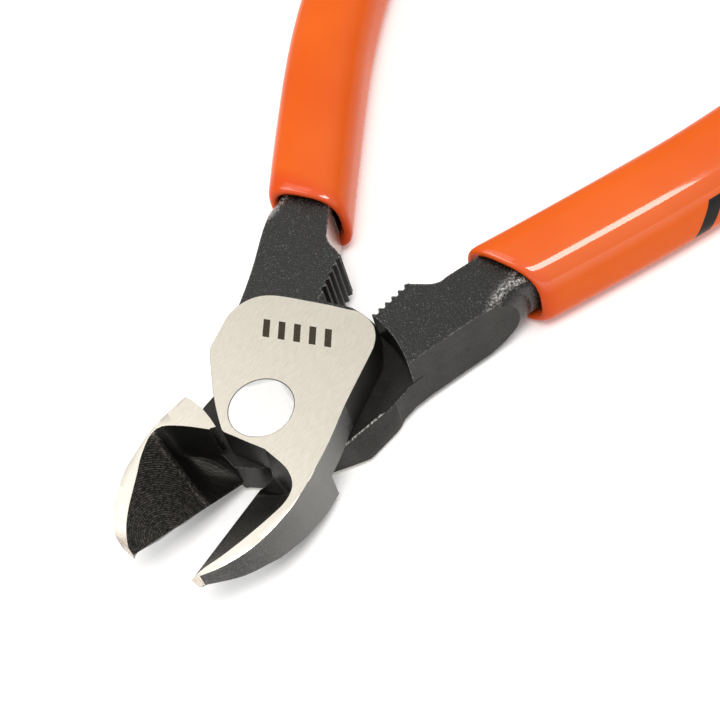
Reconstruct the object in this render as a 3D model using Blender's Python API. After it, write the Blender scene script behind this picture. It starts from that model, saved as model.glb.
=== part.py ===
"""Lap-joint diagonal cutting pliers, modelled partly open.

World frame: the hinge axis is the Z axis, the origin is the centre of the
rivet's lower face, +X runs towards the handles and +Z is up.
Plan dimensions are written in millimetres and scaled once, in to_metres().
"""
import math

import bpy
import bmesh

MM = 0.001

# Joint head
HEAD_THICKNESS = 11.6
LAP_GAP = 0.3
RIVET_RADIUS = 4.75
RIVET_CLEARANCE = 0.08
RIVET_SEGMENTS = 64
STEP_WALL_RADIUS = 21.2
NECK_RADIUS = 19.9

# Angles from the closed position to the modelled pose, in degrees
UPPER_SWING = 14.8
LOWER_SWING = -5.3

# Jaws
JAW_REACH = 27.0
EDGE_CLEARANCE = 0.05
TIP_DEPTH = 0.55
THROAT_DEPTH = 9.9
HOLLOW = 0.10
POCKET_HOLLOW = 0.42

# Handle shanks
SHANK_TOP_DROP = 1.2
LOWER_ROOT_DROP = 0.4
SERRATION_PITCH = 1.33
SERRATION_COUNT = 6
SERRATION_DEPTH = 0.75
SHANK_END_X = 112.0
SHANK_END_WIDTH = 6.4
SHANK_END_HEIGHT = 5.6

# Dipped sleeves
SLEEVE_HEIGHT = 13.4
SLEEVE_MOUTH_X = 35.0
SLEEVE_END_X = 126.5
SLEEVE_GAP = 0.32

MID_Z = HEAD_THICKNESS / 2.0


def to_metres(point):
    return (point[0] * MM, point[1] * MM, point[2] * MM)


def rotate_plan(point, degrees):
    angle = math.radians(degrees)
    cosine = math.cos(angle)
    sine = math.sin(angle)
    return (point[0] * cosine - point[1] * sine, point[0] * sine + point[1] * cosine)


def catmull(points, steps):
    """Smooth open curve through points, with steps segments for each span."""
    result = []
    last = len(points) - 1
    for i in range(last):
        p0 = points[max(i - 1, 0)]
        p1 = points[i]
        p2 = points[i + 1]
        p3 = points[min(i + 2, last)]
        for k in range(steps):
            t = k / steps
            blended = []
            for a, b, c, d in zip(p0, p1, p2, p3):
                value = 2 * b + (c - a) * t
                value += (2 * a - 5 * b + 4 * c - d) * t * t
                value += (3 * b - a - 3 * c + d) * t * t * t
                blended.append(value * 0.5)
            result.append(tuple(blended))
    result.append(tuple(points[last]))
    return result


def interpolate(table, x):
    """Piecewise linear lookup in a list of (x, value) pairs."""
    if x <= table[0][0]:
        return table[0][1]
    for (x0, v0), (x1, v1) in zip(table, table[1:]):
        if x <= x1:
            return v0 + (v1 - v0) * (x - x0) / (x1 - x0)
    return table[-1][1]


def clear_scene():
    for obj in list(bpy.data.objects):
        bpy.data.objects.remove(obj, do_unlink=True)


def make_material(name, colour, roughness, metallic):
    material = bpy.data.materials.new(name)
    material.use_nodes = True
    shader = material.node_tree.nodes["Principled BSDF"]
    shader.inputs["Base Color"].default_value = (*colour, 1.0)
    shader.inputs["Roughness"].default_value = roughness
    shader.inputs["Metallic"].default_value = metallic
    material.diffuse_color = (*colour, 1.0)
    return material


def finish_mesh(name, bm, material=None):
    bmesh.ops.remove_doubles(bm, verts=bm.verts, dist=1e-6)
    bmesh.ops.recalc_face_normals(bm, faces=bm.faces)
    mesh = bpy.data.meshes.new(name)
    bm.to_mesh(mesh)
    bm.free()
    obj = bpy.data.objects.new(name, mesh)
    bpy.context.scene.collection.objects.link(obj)
    if material:
        mesh.materials.append(material)
    return obj


def prism(name, outline, z_low, z_high):
    """Upright prism over a plan outline given in millimetres."""
    bm = bmesh.new()
    low = [bm.verts.new(to_metres((x, y, z_low))) for x, y in outline]
    high = [bm.verts.new(to_metres((x, y, z_high))) for x, y in outline]
    bm.faces.new(low)
    bm.faces.new(high)
    for i in range(len(outline)):
        j = (i + 1) % len(outline)
        bm.faces.new((low[i], low[j], high[j], high[i]))
    return finish_mesh(name, bm)


def loft(name, sections, material=None):
    """Closed body through equal-length rings, capped at both ends."""
    bm = bmesh.new()
    rings = []
    for section in sections:
        rings.append([bm.verts.new(to_metres(p)) for p in section])
    count = len(sections[0])
    for ring, following in zip(rings, rings[1:]):
        for i in range(count):
            j = (i + 1) % count
            bm.faces.new((ring[i], ring[j], following[j], following[i]))
    bm.faces.new(rings[0])
    bm.faces.new(rings[-1])
    bmesh.ops.triangulate(bm, faces=bm.faces, quad_method="SHORT_EDGE")
    return finish_mesh(name, bm, material)


def hide_helper(obj):
    obj.hide_render = True
    obj.hide_set(True)
    obj.display_type = "WIRE"


def add_boolean(target, helper, operation):
    modifier = target.modifiers.new(helper.name, "BOOLEAN")
    modifier.operation = operation
    modifier.solver = "EXACT"
    modifier.object = helper
    hide_helper(helper)


def cylinder(name, radius, z_low, z_high, segments):
    outline = []
    for k in range(segments):
        angle = 2.0 * math.pi * k / segments
        outline.append((radius * math.cos(angle), radius * math.sin(angle)))
    return prism(name, outline, z_low, z_high)


# Plan curves of the jaws, edge on the X axis and body on the -Y side
UPPER_JAW_INNER = [
    (-26.4, -0.55), (-25.0, -1.45), (-23.2, -2.85), (-20.8, -4.5), (-18.3, -6.05), (-15.8, -7.5),
    (-13.9, -8.45), (-12.2, -8.85), (-10.8, -8.7), (-9.4, -7.9), (-8.1, -6.4), (-6.3, -3.0),
]
UPPER_JAW_OUTER = [
    (-26.4, -1.2), (-25.1, -2.9), (-23.6, -4.5), (-21.2, -6.5), (-18.2, -8.2), (-15.8, -9.2),
    (-13.9, -9.9), (-12.0, -10.3), (-9.7, -10.75), (-8.3, -10.95), (-6.8, -11.05), (-5.3, -11.1),
]
LOWER_JAW_INNER = [
    (-26.7, -1.0), (-25.6, -2.4), (-24.2, -3.8), (-22.2, -5.3), (-19.8, -6.75), (-17.5, -8.1),
    (-15.4, -9.4), (-12.8, -10.55), (-11.2, -10.8), (-9.8, -10.2), (-8.2, -7.6), (-6.6, -3.9),
]
LOWER_JAW_OUTER = [
    (-26.8, -2.2), (-26.3, -4.0), (-24.5, -6.0), (-22.4, -7.8), (-20.0, -9.15), (-17.6, -10.15),
    (-15.4, -10.6), (-13.0, -11.05), (-11.0, -11.25), (-9.0, -11.3), (-7.0, -11.1), (-4.3, -10.75),
]
EDGE_STATIONS = [-27.0, -25.7, -23.8, -21.4, -19.0, -16.6, -14.5, -12.6, -11.0, -9.7, -8.6, -7.6]
LOWER_JAW_HEEL = [(-6.75, -4.3), (-5.85, -3.5), (-5.2, -5.2), (-4.6, -7.3), (-4.35, -9.5),
                  (-4.45, -10.5), (-6.5, -10.3), (-7.6, -7.4)]
HEEL_LOW = 5.2
WALL_DEPTH = [(-27.0, 2.4), (-25.1, 3.6), (-23.0, 5.0), (-20.4, 6.0), (-18.5, 7.1), (-14.3, 8.6),
              (-10.1, 10.0), (-6.1, 10.9), (-4.0, 11.6)]

# Plan curve of the lap plate: shared body, then the run into each half's own throat
PLATE_OUTLINE = [
    (5.6, -10.6), (14.1, -9.2), (15.8, -8.8), (17.4, -8.0), (18.7, -6.7), (19.4, -5.1),
    (19.7, -3.2), (19.4, -1.8), (18.9, 1.0), (18.2, 4.1), (17.5, 7.2), (16.8, 9.6), (15.8, 11.5),
    (14.4, 12.8), (12.9, 13.5), (10.9, 13.85), (8.5, 13.5), (6.2, 13.1), (5.2, 12.9), (4.4, 12.5),
    (1.9, 10.4), (-2.0, 6.9), (-3.8, 5.0), (-5.2, 3.4), (-5.6, 2.8),
]
UPPER_THROAT = [(-5.7, 2.2), (-5.6, 0.5), (-5.5, -2.0), (-5.35, -4.5), (-5.5, -6.7), (-5.9, -8.4),
                (-6.8, -10.2), (-8.0, -11.5), (-9.3, -12.1), (-9.0, -13.0), (-6.2, -12.8),
                (0.0, -11.9)]
LOWER_THROAT = [(-6.1, 2.0), (-6.7, 0.6), (-7.15, -0.45), (-7.5, -1.0), (-7.3, -2.0), (-6.7, -4.0),
                (-6.6, -6.4), (-7.2, -9.0), (-6.8, -10.6), (-5.6, -11.2), (-3.3, -11.3),
                (-1.6, -11.4), (0.0, -11.3)]

# Shank edges beyond the lap plate, on the +Y side
UPPER_SHANK_OUTER = [(10.0, 13.4), (13.7, 14.3), (16.3, 15.1), (18.9, 16.0), (21.5, 17.0),
                     (24.8, 18.4), (27.5, 19.5), (30.0, 20.6), (34.0, 22.7)]
UPPER_SHANK_INNER = [(28.4, 6.8), (28.9, 8.2), (29.8, 9.5), (31.2, 10.2), (34.0, 11.9)]
UPPER_SERRATION = ((20.9, 4.0), (27.8, 5.4))
LOWER_SHANK_OUTER = [(10.0, 13.5), (14.9, 14.1), (17.8, 15.1), (20.9, 16.4), (24.3, 17.8),
                     (27.5, 19.2), (30.0, 20.3), (34.0, 22.4)]
LOWER_SHANK_INNER = [(28.3, 8.2), (29.0, 9.8), (30.0, 10.8), (31.6, 11.3), (34.0, 12.3)]
LOWER_SERRATION = ((20.7, 4.9), (27.6, 6.4))


def sleeve_axis(x):
    """Plan offset of a handle's centre line from the X axis, in millimetres."""
    path = [(29.0, 14.0), (33.25, 16.2), (38.0, 18.9), (42.75, 21.6), (50.0, 25.6), (57.0, 29.4),
            (64.0, 33.0), (71.25, 36.3), (78.5, 39.2), (85.5, 41.7), (94.0, 43.9), (103.0, 45.5),
            (112.0, 46.2), (120.0, 46.2), (128.0, 45.6)]
    return interpolate(catmull(path, 6), x)


def sleeve_width(x):
    return interpolate([(30.0, 13.4), (43.0, 13.8), (57.0, 14.1), (71.0, 14.0), (86.0, 13.6),
                        (110.0, 13.2), (128.0, 12.8)], x)


def axis_frame(x):
    """Centre and unit normal of a handle's centre line in plan."""
    ahead = sleeve_axis(x + 0.5)
    behind = sleeve_axis(x - 0.5)
    length = math.hypot(1.0, ahead - behind)
    normal = (-(ahead - behind) / length, 1.0 / length)
    return (x, sleeve_axis(x)), normal


def rounded_ring(x, width, height, power, count, skew):
    """Superellipse ring across a handle; skew turns its plane towards the Y axis."""
    centre, normal = axis_frame(x)
    ring = []
    for k in range(count):
        angle = 2.0 * math.pi * (k + 0.5) / count
        cosine = math.cos(angle)
        sine = math.sin(angle)
        across = math.copysign(abs(cosine) ** (2.0 / power), cosine) * width / 2.0
        rise = math.copysign(abs(sine) ** (2.0 / power), sine) * height / 2.0
        along = skew * across
        tangent = (normal[1], -normal[0])
        ring.append((centre[0] + normal[0] * across + tangent[0] * along,
                     centre[1] + normal[1] * across + tangent[1] * along,
                     MID_Z + rise))
    return ring


def edge_height(x):
    """Height of the cutting edge above the head's underside."""
    share = (x + JAW_REACH) / (JAW_REACH - 7.6)
    return HEAD_THICKNESS - TIP_DEPTH - share * (THROAT_DEPTH - TIP_DEPTH)


def jaw_section(edge_x, inner, outer):
    """Closed ring across a jaw, from the edge over the bevel and round the back."""
    edge_z = edge_height(edge_x)
    pocket = min(max((edge_x + 14.5) / 5.0, 0.0), 1.0)
    hollow = HOLLOW + (POCKET_HOLLOW - HOLLOW) * pocket
    bow = min(max((edge_x + 9.7) / 2.1, 0.0), 1.0)
    section = [(edge_x, -EDGE_CLEARANCE, edge_z)]
    for share in (0.2, 0.4, 0.6, 0.8, 0.92):
        x = edge_x + (inner[0] - edge_x) * share
        y = inner[1] * share - EDGE_CLEARANCE * (1.0 - share)
        drop = (HEAD_THICKNESS - edge_z) * min(1.0 - share + hollow * share * (1.0 - share) * 4.0, 1.0)
        section.append((x, y, HEAD_THICKNESS - drop))
    section.append((inner[0], inner[1], HEAD_THICKNESS))
    section.append((outer[0], outer[1], HEAD_THICKNESS))
    wall = HEAD_THICKNESS - interpolate(WALL_DEPTH, outer[0])
    breadth = abs(outer[1])
    section.append((outer[0], outer[1] + min(0.15, 0.05 * breadth), max(wall + 0.8, 0.6)))
    section.append((outer[0] + 0.02 * breadth, outer[1] + min(0.75, 0.2 * breadth), max(wall, 0.0)))
    lowest = max(min(wall, edge_z - 0.7), 0.0)
    near = min(1.1 + 0.6 * bow, 0.4 * breadth)
    share = near / breadth
    section.append((edge_x + (outer[0] - edge_x) * share, -near, lowest))
    return section


def jaw(name, inner, outer, swing, mirror):
    sections = []
    edges = catmull([(x,) for x in EDGE_STATIONS], 3)
    for edge, inner_point, outer_point in zip(edges, catmull(inner, 3), catmull(outer, 3)):
        ring = []
        for x, y, z in jaw_section(edge[0], inner_point, outer_point):
            plan = rotate_plan((x, y * mirror), swing)
            ring.append((plan[0], plan[1], z))
        sections.append(ring)
    return loft(name, sections)


def serrated_edge(line):
    """Saw-tooth plan curve of the gripping shoulder, from its first crest to its last."""
    (x0, y0), (x1, y1) = line
    length = math.hypot(x1 - x0, y1 - y0)
    along = ((x1 - x0) / length, (y1 - y0) / length)
    inward = (-along[1], along[0])
    points = [(x0, y0)]
    for k in range(1, SERRATION_COUNT):
        root = (k - 0.5) * SERRATION_PITCH
        crest = k * SERRATION_PITCH
        points.append((x0 + along[0] * root + inward[0] * SERRATION_DEPTH,
                       y0 + along[1] * root + inward[1] * SERRATION_DEPTH))
        points.append((x0 + along[0] * crest, y0 + along[1] * crest))
    return points


def arc_points(radius, start, end, count):
    points = []
    for k in range(count + 1):
        angle = math.radians(start + (end - start) * k / count)
        points.append((radius * math.cos(angle), radius * math.sin(angle)))
    return points


def shoulder_outline(outer, inner, serration, radius):
    """Plan outline of the thick handle root outside the concentric step wall."""
    teeth = serrated_edge(serration)
    body = [p for p in outer if math.hypot(p[0], p[1]) > radius]
    before = [p for p in outer if math.hypot(p[0], p[1]) <= radius][-1]
    reach = math.hypot(before[0], before[1])
    share = (radius - reach) / (math.hypot(body[0][0], body[0][1]) - reach)
    corner = [a + (b - a) * share for a, b in zip(before, body[0])]
    start = math.degrees(math.atan2(corner[1], corner[0]))
    end = math.degrees(math.asin(teeth[0][1] / radius))
    outline = arc_points(radius, start, end, 14)
    outline += teeth[1:] if teeth[0][0] < outline[-1][0] + 0.1 else teeth
    outline += inner
    outline += list(reversed(body))
    return outline


def neck_outline(outer, serration, radius):
    """Plan outline of the half-thickness neck: from the plate into the root, and its round rim."""
    x0, y0 = serration[0]
    body = [p for p in outer if math.hypot(p[0], p[1]) < radius + 2.5]
    tail = body[-1]
    outline = [(6.0, 10.0)] + body
    outline += [(tail[0] + 1.5, tail[1] - 3.0), (x0 + 3.0, y0 + 2.6), (x0 + 0.7, y0 + 1.7)]
    outline += arc_points(NECK_RADIUS, 12.0, -14.5, 9)
    outline += [(16.0, -4.0), (8.0, 0.0)]
    return outline


def mirror_outline(outline):
    return [(x, -y) for x, y in outline]


def shank(name, mirror):
    sections = []
    for k in range(17):
        x = 30.5 + (SHANK_END_X - 30.5) * k / 16.0
        share = (x - 30.5) / (SHANK_END_X - 30.5)
        width = 9.1 + (SHANK_END_WIDTH - 9.1) * share
        height = HEAD_THICKNESS - 2.0 * SHANK_TOP_DROP - 0.1
        height += (SHANK_END_HEIGHT - height) * share
        ring = rounded_ring(x, width, height, 6.0, 24, 0.0)
        sections.append([(px, py * mirror, pz) for px, py, pz in ring])
    return loft(name, sections)


def place_at_hinge(obj, material):
    """Every forged part keeps its origin on the hinge axis."""
    obj.location = (0.0, 0.0, 0.0)
    obj.data.materials.append(material)


def forged_half(name, side, material):
    """One plier half: side is +1 for the half whose lap plate is on top."""
    upper = side > 0
    plate_low = MID_Z + LAP_GAP / 2.0 if upper else 0.0
    plate_high = HEAD_THICKNESS if upper else MID_Z - LAP_GAP / 2.0
    inner = UPPER_JAW_INNER if upper else LOWER_JAW_INNER
    outer = UPPER_JAW_OUTER if upper else LOWER_JAW_OUTER
    shank_outer = UPPER_SHANK_OUTER if upper else LOWER_SHANK_OUTER
    shank_inner = UPPER_SHANK_INNER if upper else LOWER_SHANK_INNER
    serration = UPPER_SERRATION if upper else LOWER_SERRATION
    swing = UPPER_SWING if upper else LOWER_SWING
    plate = PLATE_OUTLINE + (UPPER_THROAT if upper else LOWER_THROAT)
    shoulder = shoulder_outline(shank_outer, shank_inner, serration, STEP_WALL_RADIUS)
    neck = neck_outline(shank_outer, serration, STEP_WALL_RADIUS)
    if not upper:
        plate = mirror_outline(plate)
        shoulder = mirror_outline(shoulder)
        neck = mirror_outline(neck)
    body = prism(name, plate, plate_low, plate_high)
    root_low = SHANK_TOP_DROP if upper else LOWER_ROOT_DROP
    neck_low = plate_low if upper else root_low
    neck_high = HEAD_THICKNESS - SHANK_TOP_DROP if upper else plate_high
    add_boolean(body, prism(name + "_neck", neck, neck_low, neck_high), "UNION")
    root = prism(name + "_root", shoulder, root_low, HEAD_THICKNESS - SHANK_TOP_DROP)
    add_boolean(body, root, "UNION")
    add_boolean(body, shank(name + "_shank", side), "UNION")
    add_boolean(body, jaw(name + "_jaw", inner, outer, swing, side), "UNION")
    if not upper:
        heel = [rotate_plan(point, swing) for point in mirror_outline(LOWER_JAW_HEEL)]
        add_boolean(body, prism(name + "_heel", heel, HEEL_LOW, HEAD_THICKNESS), "UNION")
    bore = cylinder(name + "_bore", RIVET_RADIUS + RIVET_CLEARANCE, -1.0, HEAD_THICKNESS + 1.0,
                    RIVET_SEGMENTS)
    add_boolean(body, bore, "DIFFERENCE")
    place_at_hinge(body, material)
    return body


def pivot_rivet(material):
    profile = [(RIVET_RADIUS - 0.12, 0.0), (RIVET_RADIUS, 0.12),
               (RIVET_RADIUS, HEAD_THICKNESS - 0.12), (RIVET_RADIUS - 0.12, HEAD_THICKNESS)]
    sections = []
    for radius, z in profile:
        ring = []
        for k in range(RIVET_SEGMENTS):
            angle = 2.0 * math.pi * k / RIVET_SEGMENTS
            ring.append((radius * math.cos(angle), radius * math.sin(angle), z))
        sections.append(ring)
    return loft("pivot_rivet", sections, material)


def sleeve(name, side, material):
    """Blind soft sleeve: outer skin, rolled mouth and the pocket for the shank."""
    count = 32
    sections = []
    pocket_end = SHANK_END_X + 0.6
    for k in range(15):
        x = pocket_end - (pocket_end - SLEEVE_MOUTH_X) * k / 14.0
        share = (x - 30.5) / (SHANK_END_X - 30.5)
        width = 9.1 + (SHANK_END_WIDTH - 9.1) * min(share, 1.0) + 2.0 * SLEEVE_GAP
        height = HEAD_THICKNESS - 2.0 * SHANK_TOP_DROP - 0.1
        height += (SHANK_END_HEIGHT - height) * min(share, 1.0) + 2.0 * SLEEVE_GAP
        skew = 0.42 * max(1.0 - (x - SLEEVE_MOUTH_X) / 14.0, 0.0)
        sections.append(rounded_ring(x, width, height, 6.0, count, skew))
    for inset, shift in ((3.0, -0.25), (1.1, -0.3), (0.3, 0.0), (0.0, 0.7)):
        x = SLEEVE_MOUTH_X + shift
        ring = rounded_ring(x, sleeve_width(x) - inset, SLEEVE_HEIGHT - inset, 3.4, count, 0.42)
        sections.append(ring)
    steps = 18
    for k in range(1, steps + 1):
        x = SLEEVE_MOUTH_X + 0.7 + (SLEEVE_END_X - 6.0 - SLEEVE_MOUTH_X) * k / steps
        skew = 0.42 * max(1.0 - (x - SLEEVE_MOUTH_X) / 14.0, 0.0)
        sections.append(rounded_ring(x, sleeve_width(x), SLEEVE_HEIGHT, 3.4, count, skew))
    start = SLEEVE_MOUTH_X + 0.7 + SLEEVE_END_X - 6.0 - SLEEVE_MOUTH_X
    for k in range(1, 7):
        angle = math.radians(15.0 * k)
        x = start + (SLEEVE_END_X - start) * math.sin(angle)
        scale = max(math.cos(angle) ** 0.7, 0.12)
        sections.append(rounded_ring(x, sleeve_width(x) * scale, SLEEVE_HEIGHT * scale, 3.0, count, 0.0))
    turned = []
    for ring in sections:
        turned.append([(x, y * side, z) for x, y, z in ring])
    obj = loft(name, turned, material)
    return obj


def shade_round(obj, degrees):
    obj.data.shade_smooth()
    obj.data.set_sharp_from_angle(angle=math.radians(degrees))


def build():
    clear_scene()
    steel_upper = make_material("ground_steel", (0.62, 0.60, 0.56), 0.38, 1.0)
    steel_lower = make_material("forged_black", (0.05, 0.05, 0.048), 0.55, 0.6)
    steel_rivet = make_material("rivet_steel", (0.78, 0.77, 0.75), 0.3, 1.0)
    vinyl_upper = make_material("upper_vinyl", (0.82, 0.13, 0.028), 0.28, 0.0)
    vinyl_lower = make_material("lower_vinyl", (0.82, 0.13, 0.028), 0.28, 0.0)
    hinge = bpy.data.objects.new("hinge_axis", None)
    hinge.empty_display_size = 0.01
    bpy.context.scene.collection.objects.link(hinge)
    lower = forged_half("lower_half", -1, steel_lower)
    upper = forged_half("upper_half", 1, steel_upper)
    rivet = pivot_rivet(steel_rivet)
    upper_grip = sleeve("upper_grip", 1, vinyl_upper)
    lower_grip = sleeve("lower_grip", -1, vinyl_lower)
    for obj in (upper_grip, lower_grip, rivet):
        shade_round(obj, 40.0)
    for obj in (lower, lower_grip):
        obj.parent = hinge
    rivet.parent = upper
    upper_grip.parent = upper


build()
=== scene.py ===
"""Looks for the lap-joint diagonal cutting pliers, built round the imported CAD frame."""
import math

import bmesh
import bpy
from mathutils import Matrix, Vector


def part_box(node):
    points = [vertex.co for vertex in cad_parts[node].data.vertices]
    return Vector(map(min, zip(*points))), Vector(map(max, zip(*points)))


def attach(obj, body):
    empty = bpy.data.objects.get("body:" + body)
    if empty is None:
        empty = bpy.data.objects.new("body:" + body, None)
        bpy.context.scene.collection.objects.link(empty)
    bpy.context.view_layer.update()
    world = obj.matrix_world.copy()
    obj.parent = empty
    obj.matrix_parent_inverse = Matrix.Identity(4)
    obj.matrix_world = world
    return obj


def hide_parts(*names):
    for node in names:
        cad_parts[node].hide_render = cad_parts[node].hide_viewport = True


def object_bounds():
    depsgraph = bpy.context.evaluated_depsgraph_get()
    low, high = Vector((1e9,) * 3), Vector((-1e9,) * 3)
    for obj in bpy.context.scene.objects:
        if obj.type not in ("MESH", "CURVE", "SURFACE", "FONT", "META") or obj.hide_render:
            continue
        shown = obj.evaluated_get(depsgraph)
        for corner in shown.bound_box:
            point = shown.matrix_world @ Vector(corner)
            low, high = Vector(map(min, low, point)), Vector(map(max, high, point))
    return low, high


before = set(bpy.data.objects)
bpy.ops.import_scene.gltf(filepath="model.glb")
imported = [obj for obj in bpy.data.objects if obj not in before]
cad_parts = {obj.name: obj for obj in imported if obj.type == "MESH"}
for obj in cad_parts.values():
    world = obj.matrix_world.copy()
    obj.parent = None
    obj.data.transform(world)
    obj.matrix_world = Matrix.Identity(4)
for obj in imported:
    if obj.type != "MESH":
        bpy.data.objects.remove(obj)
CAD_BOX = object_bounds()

MM = 0.001

# Head. The heights and the rivet's radius come from the frame
HEAD_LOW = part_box("pivot_rivet")[0][2] / MM
HEAD_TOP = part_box("pivot_rivet")[1][2] / MM
RIVET_RADIUS = (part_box("pivot_rivet")[1][0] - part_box("pivot_rivet")[0][0]) / MM / 2.0
MID_Z = (HEAD_LOW + HEAD_TOP) / 2.0
BORE_CLEARANCE = 0.07
HALF_GAP = 0.12
STEP_WALL_RADIUS = 21.2

# Angles from the closed position to rest, in degrees
UPPER_SWING = 14.8
LOWER_SWING = -5.3

# Jaws. A ridge is (X at the edge, X at the bevel's top, blend width, pocket floor rise)
JAW_REACH = 27.0
TIP_DEPTH = 0.55
THROAT_DEPTH = 9.9
EDGE_CLEARANCE = 0.06
UPPER_RIDGE = (-9.0, -12.6, 2.2, 0.30)
LOWER_RIDGE = (-14.2, -11.4, 3.0, 0.26)
POCKET_FOOT = 0.80
POCKET_CROWDING = 0.35
BEVEL_STEPS = 28
JAW_STEPS = 12

# Shanks
SHANK_DROP = 1.2
LOWER_ROOT_DROP = 0.4
SERRATION_PITCH = 1.33
SERRATION_COUNT = 6
SERRATION_DEPTH = 0.55
FORGED_BULGE = 4.4
NECK_RADIUS = 19.9
RIM_DROP = 0.6
RIM_WIDTH = 0.85
RIM_RADIUS_LIMIT = 20.3

# Sleeves. A mouth is (place along X, skew of its plane)
SLEEVE_HEIGHT = 13.2
SLEEVE_SIDES = 96
UPPER_MOUTH = (34.5, 0.34)
LOWER_MOUTH = (36.2, 0.50)
MOUTH_BLEND = 14.0
SLEEVE_END_X = 126.3
SLEEVE_END_ROUND = 7.0

# Camera: where it stands, its own right and up directions, and its lens
CAMERA_PLACE = Vector((-0.07572, -0.11305, 0.19632))
CAMERA_RIGHT = Vector((0.54181, -0.81568, -0.20277))
CAMERA_UP = Vector((0.74728, 0.35706, 0.56043))
CAMERA_LENS = 82.5

# Plan curves of the jaws, edge on the X axis and body on the -Y side, closed
UPPER_JAW_INNER = [
    (-26.4, -0.55), (-25.0, -1.45), (-23.2, -2.85), (-20.8, -4.5), (-18.3, -6.05), (-15.8, -7.5),
    (-13.9, -8.45), (-12.2, -8.85), (-10.8, -8.7), (-9.4, -7.9), (-8.1, -6.4), (-6.3, -3.0),
]
UPPER_JAW_OUTER = [
    (-26.4, -1.2), (-25.1, -2.9), (-23.6, -4.5), (-21.2, -6.5), (-18.2, -8.2), (-15.8, -9.2),
    (-13.9, -9.9), (-12.0, -10.3), (-9.7, -10.75), (-8.3, -10.95), (-6.8, -11.05), (-5.3, -11.1),
]
LOWER_JAW_INNER = [
    (-26.7, -1.0), (-25.6, -2.4), (-24.2, -3.8), (-22.2, -5.3), (-19.8, -6.75), (-17.5, -8.1),
    (-15.4, -9.4), (-12.8, -10.55), (-11.2, -10.8), (-9.8, -10.2), (-8.2, -7.6), (-6.6, -3.9),
]
LOWER_JAW_OUTER = [
    (-26.8, -2.2), (-26.3, -4.0), (-24.5, -6.0), (-22.4, -7.8), (-20.0, -9.15), (-17.6, -10.15),
    (-15.4, -10.6), (-13.0, -11.05), (-11.0, -11.25), (-9.0, -11.3), (-7.0, -11.1), (-4.3, -10.75),
]
EDGE_STATIONS = [-27.0, -25.7, -23.8, -21.4, -19.0, -16.6, -14.5, -12.6, -11.0, -9.7, -8.6, -7.6]
LOWER_JAW_HEEL = [(-6.75, -4.3), (-5.85, -3.5), (-5.2, -5.2), (-4.6, -7.3), (-4.35, -9.5),
                  (-4.45, -10.5), (-6.5, -10.3), (-7.6, -7.4)]
HEEL_LOW = 5.2
WALL_DEPTH = [(-27.0, 2.4), (-25.1, 3.6), (-23.0, 5.0), (-20.4, 6.0), (-18.5, 7.1), (-14.3, 8.6),
              (-10.1, 10.0), (-6.1, 10.9), (-4.0, 11.6)]

# Plan curve of the lap plate: shared body, then the run into each half's own throat
SMOOTH_STEPS = 3
PLATE_OUTLINE = [
    (5.6, -10.6), (14.1, -9.2), (15.8, -8.8), (17.4, -8.0), (18.7, -6.7), (19.4, -5.1),
    (19.7, -3.2), (19.4, -1.8), (18.9, 1.0), (18.2, 4.1), (17.5, 7.2), (16.8, 9.6), (15.8, 11.5),
    (14.4, 12.8), (12.9, 13.5), (10.9, 13.85), (8.5, 13.5), (6.2, 13.1), (5.2, 12.9), (4.4, 12.5),
    (1.9, 10.4), (-2.0, 6.9), (-3.8, 5.0), (-5.2, 3.4), (-5.6, 2.8),
]
UPPER_THROAT = [(-5.7, 2.2), (-5.6, 0.5), (-5.5, -2.0), (-5.35, -4.5), (-5.5, -6.7), (-5.9, -8.4),
                (-6.8, -10.2), (-8.0, -11.5), (-9.3, -12.1), (-9.0, -13.0), (-6.2, -12.8),
                (0.0, -11.9)]
LOWER_THROAT = [(-6.1, 2.0), (-6.7, 0.6), (-7.15, -0.45), (-7.5, -1.0), (-7.3, -2.0), (-6.7, -4.0),
                (-6.6, -6.4), (-7.2, -9.0), (-6.8, -10.6), (-5.6, -11.2), (-3.3, -11.3),
                (-1.6, -11.4), (0.0, -11.3)]

# Ends of the lower plate's leaning outer corner
CHORD = ((3.5, -11.3), (12.1, -13.8))

# Shank edges beyond the lap plate, on the +Y side
UPPER_SHANK_OUTER = [(10.0, 13.4), (13.7, 14.3), (16.3, 15.1), (18.9, 16.0), (21.5, 17.0),
                     (24.8, 18.4), (27.5, 19.5), (30.0, 20.6), (37.0, 24.3)]
UPPER_SHANK_INNER = [(27.9, 5.8), (28.4, 6.9), (28.9, 8.2), (29.8, 9.4), (31.2, 10.2), (37.0, 13.6)]
UPPER_SERRATION = ((20.9, 4.0), (27.8, 5.4))
LOWER_SHANK_OUTER = [(10.0, 13.5), (14.9, 14.1), (17.8, 15.1), (20.9, 16.4), (24.3, 17.8),
                     (27.5, 19.2), (30.0, 20.3), (37.0, 24.0)]
LOWER_SHANK_INNER = [(27.7, 7.0), (28.3, 8.3), (29.0, 9.8), (30.0, 10.8), (31.6, 11.4), (37.0, 13.9)]
LOWER_SERRATION = ((20.7, 4.9), (27.6, 6.4))

# Places of the materials in a forged half's list
GROUND, FORGED, BEVEL, SMOOTH, WALL, SCOOP, WORN_AND_HIGHLIGHT = range(7)


# ---------------------------------------------------------------- numbers

def catmull(points, steps):
    """Smooth open curve through points, with steps segments for each span."""
    result = []
    last = len(points) - 1
    for i in range(last):
        p0 = points[max(i - 1, 0)]
        p1 = points[i]
        p2 = points[i + 1]
        p3 = points[min(i + 2, last)]
        for k in range(steps):
            t = k / steps
            blended = []
            for a, b, c, d in zip(p0, p1, p2, p3):
                value = 2 * b + (c - a) * t
                value += (2 * a - 5 * b + 4 * c - d) * t * t
                value += (3 * b - a - 3 * c + d) * t * t * t
                blended.append(value * 0.5)
            result.append(tuple(blended))
    result.append(tuple(points[last]))
    return result


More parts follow.
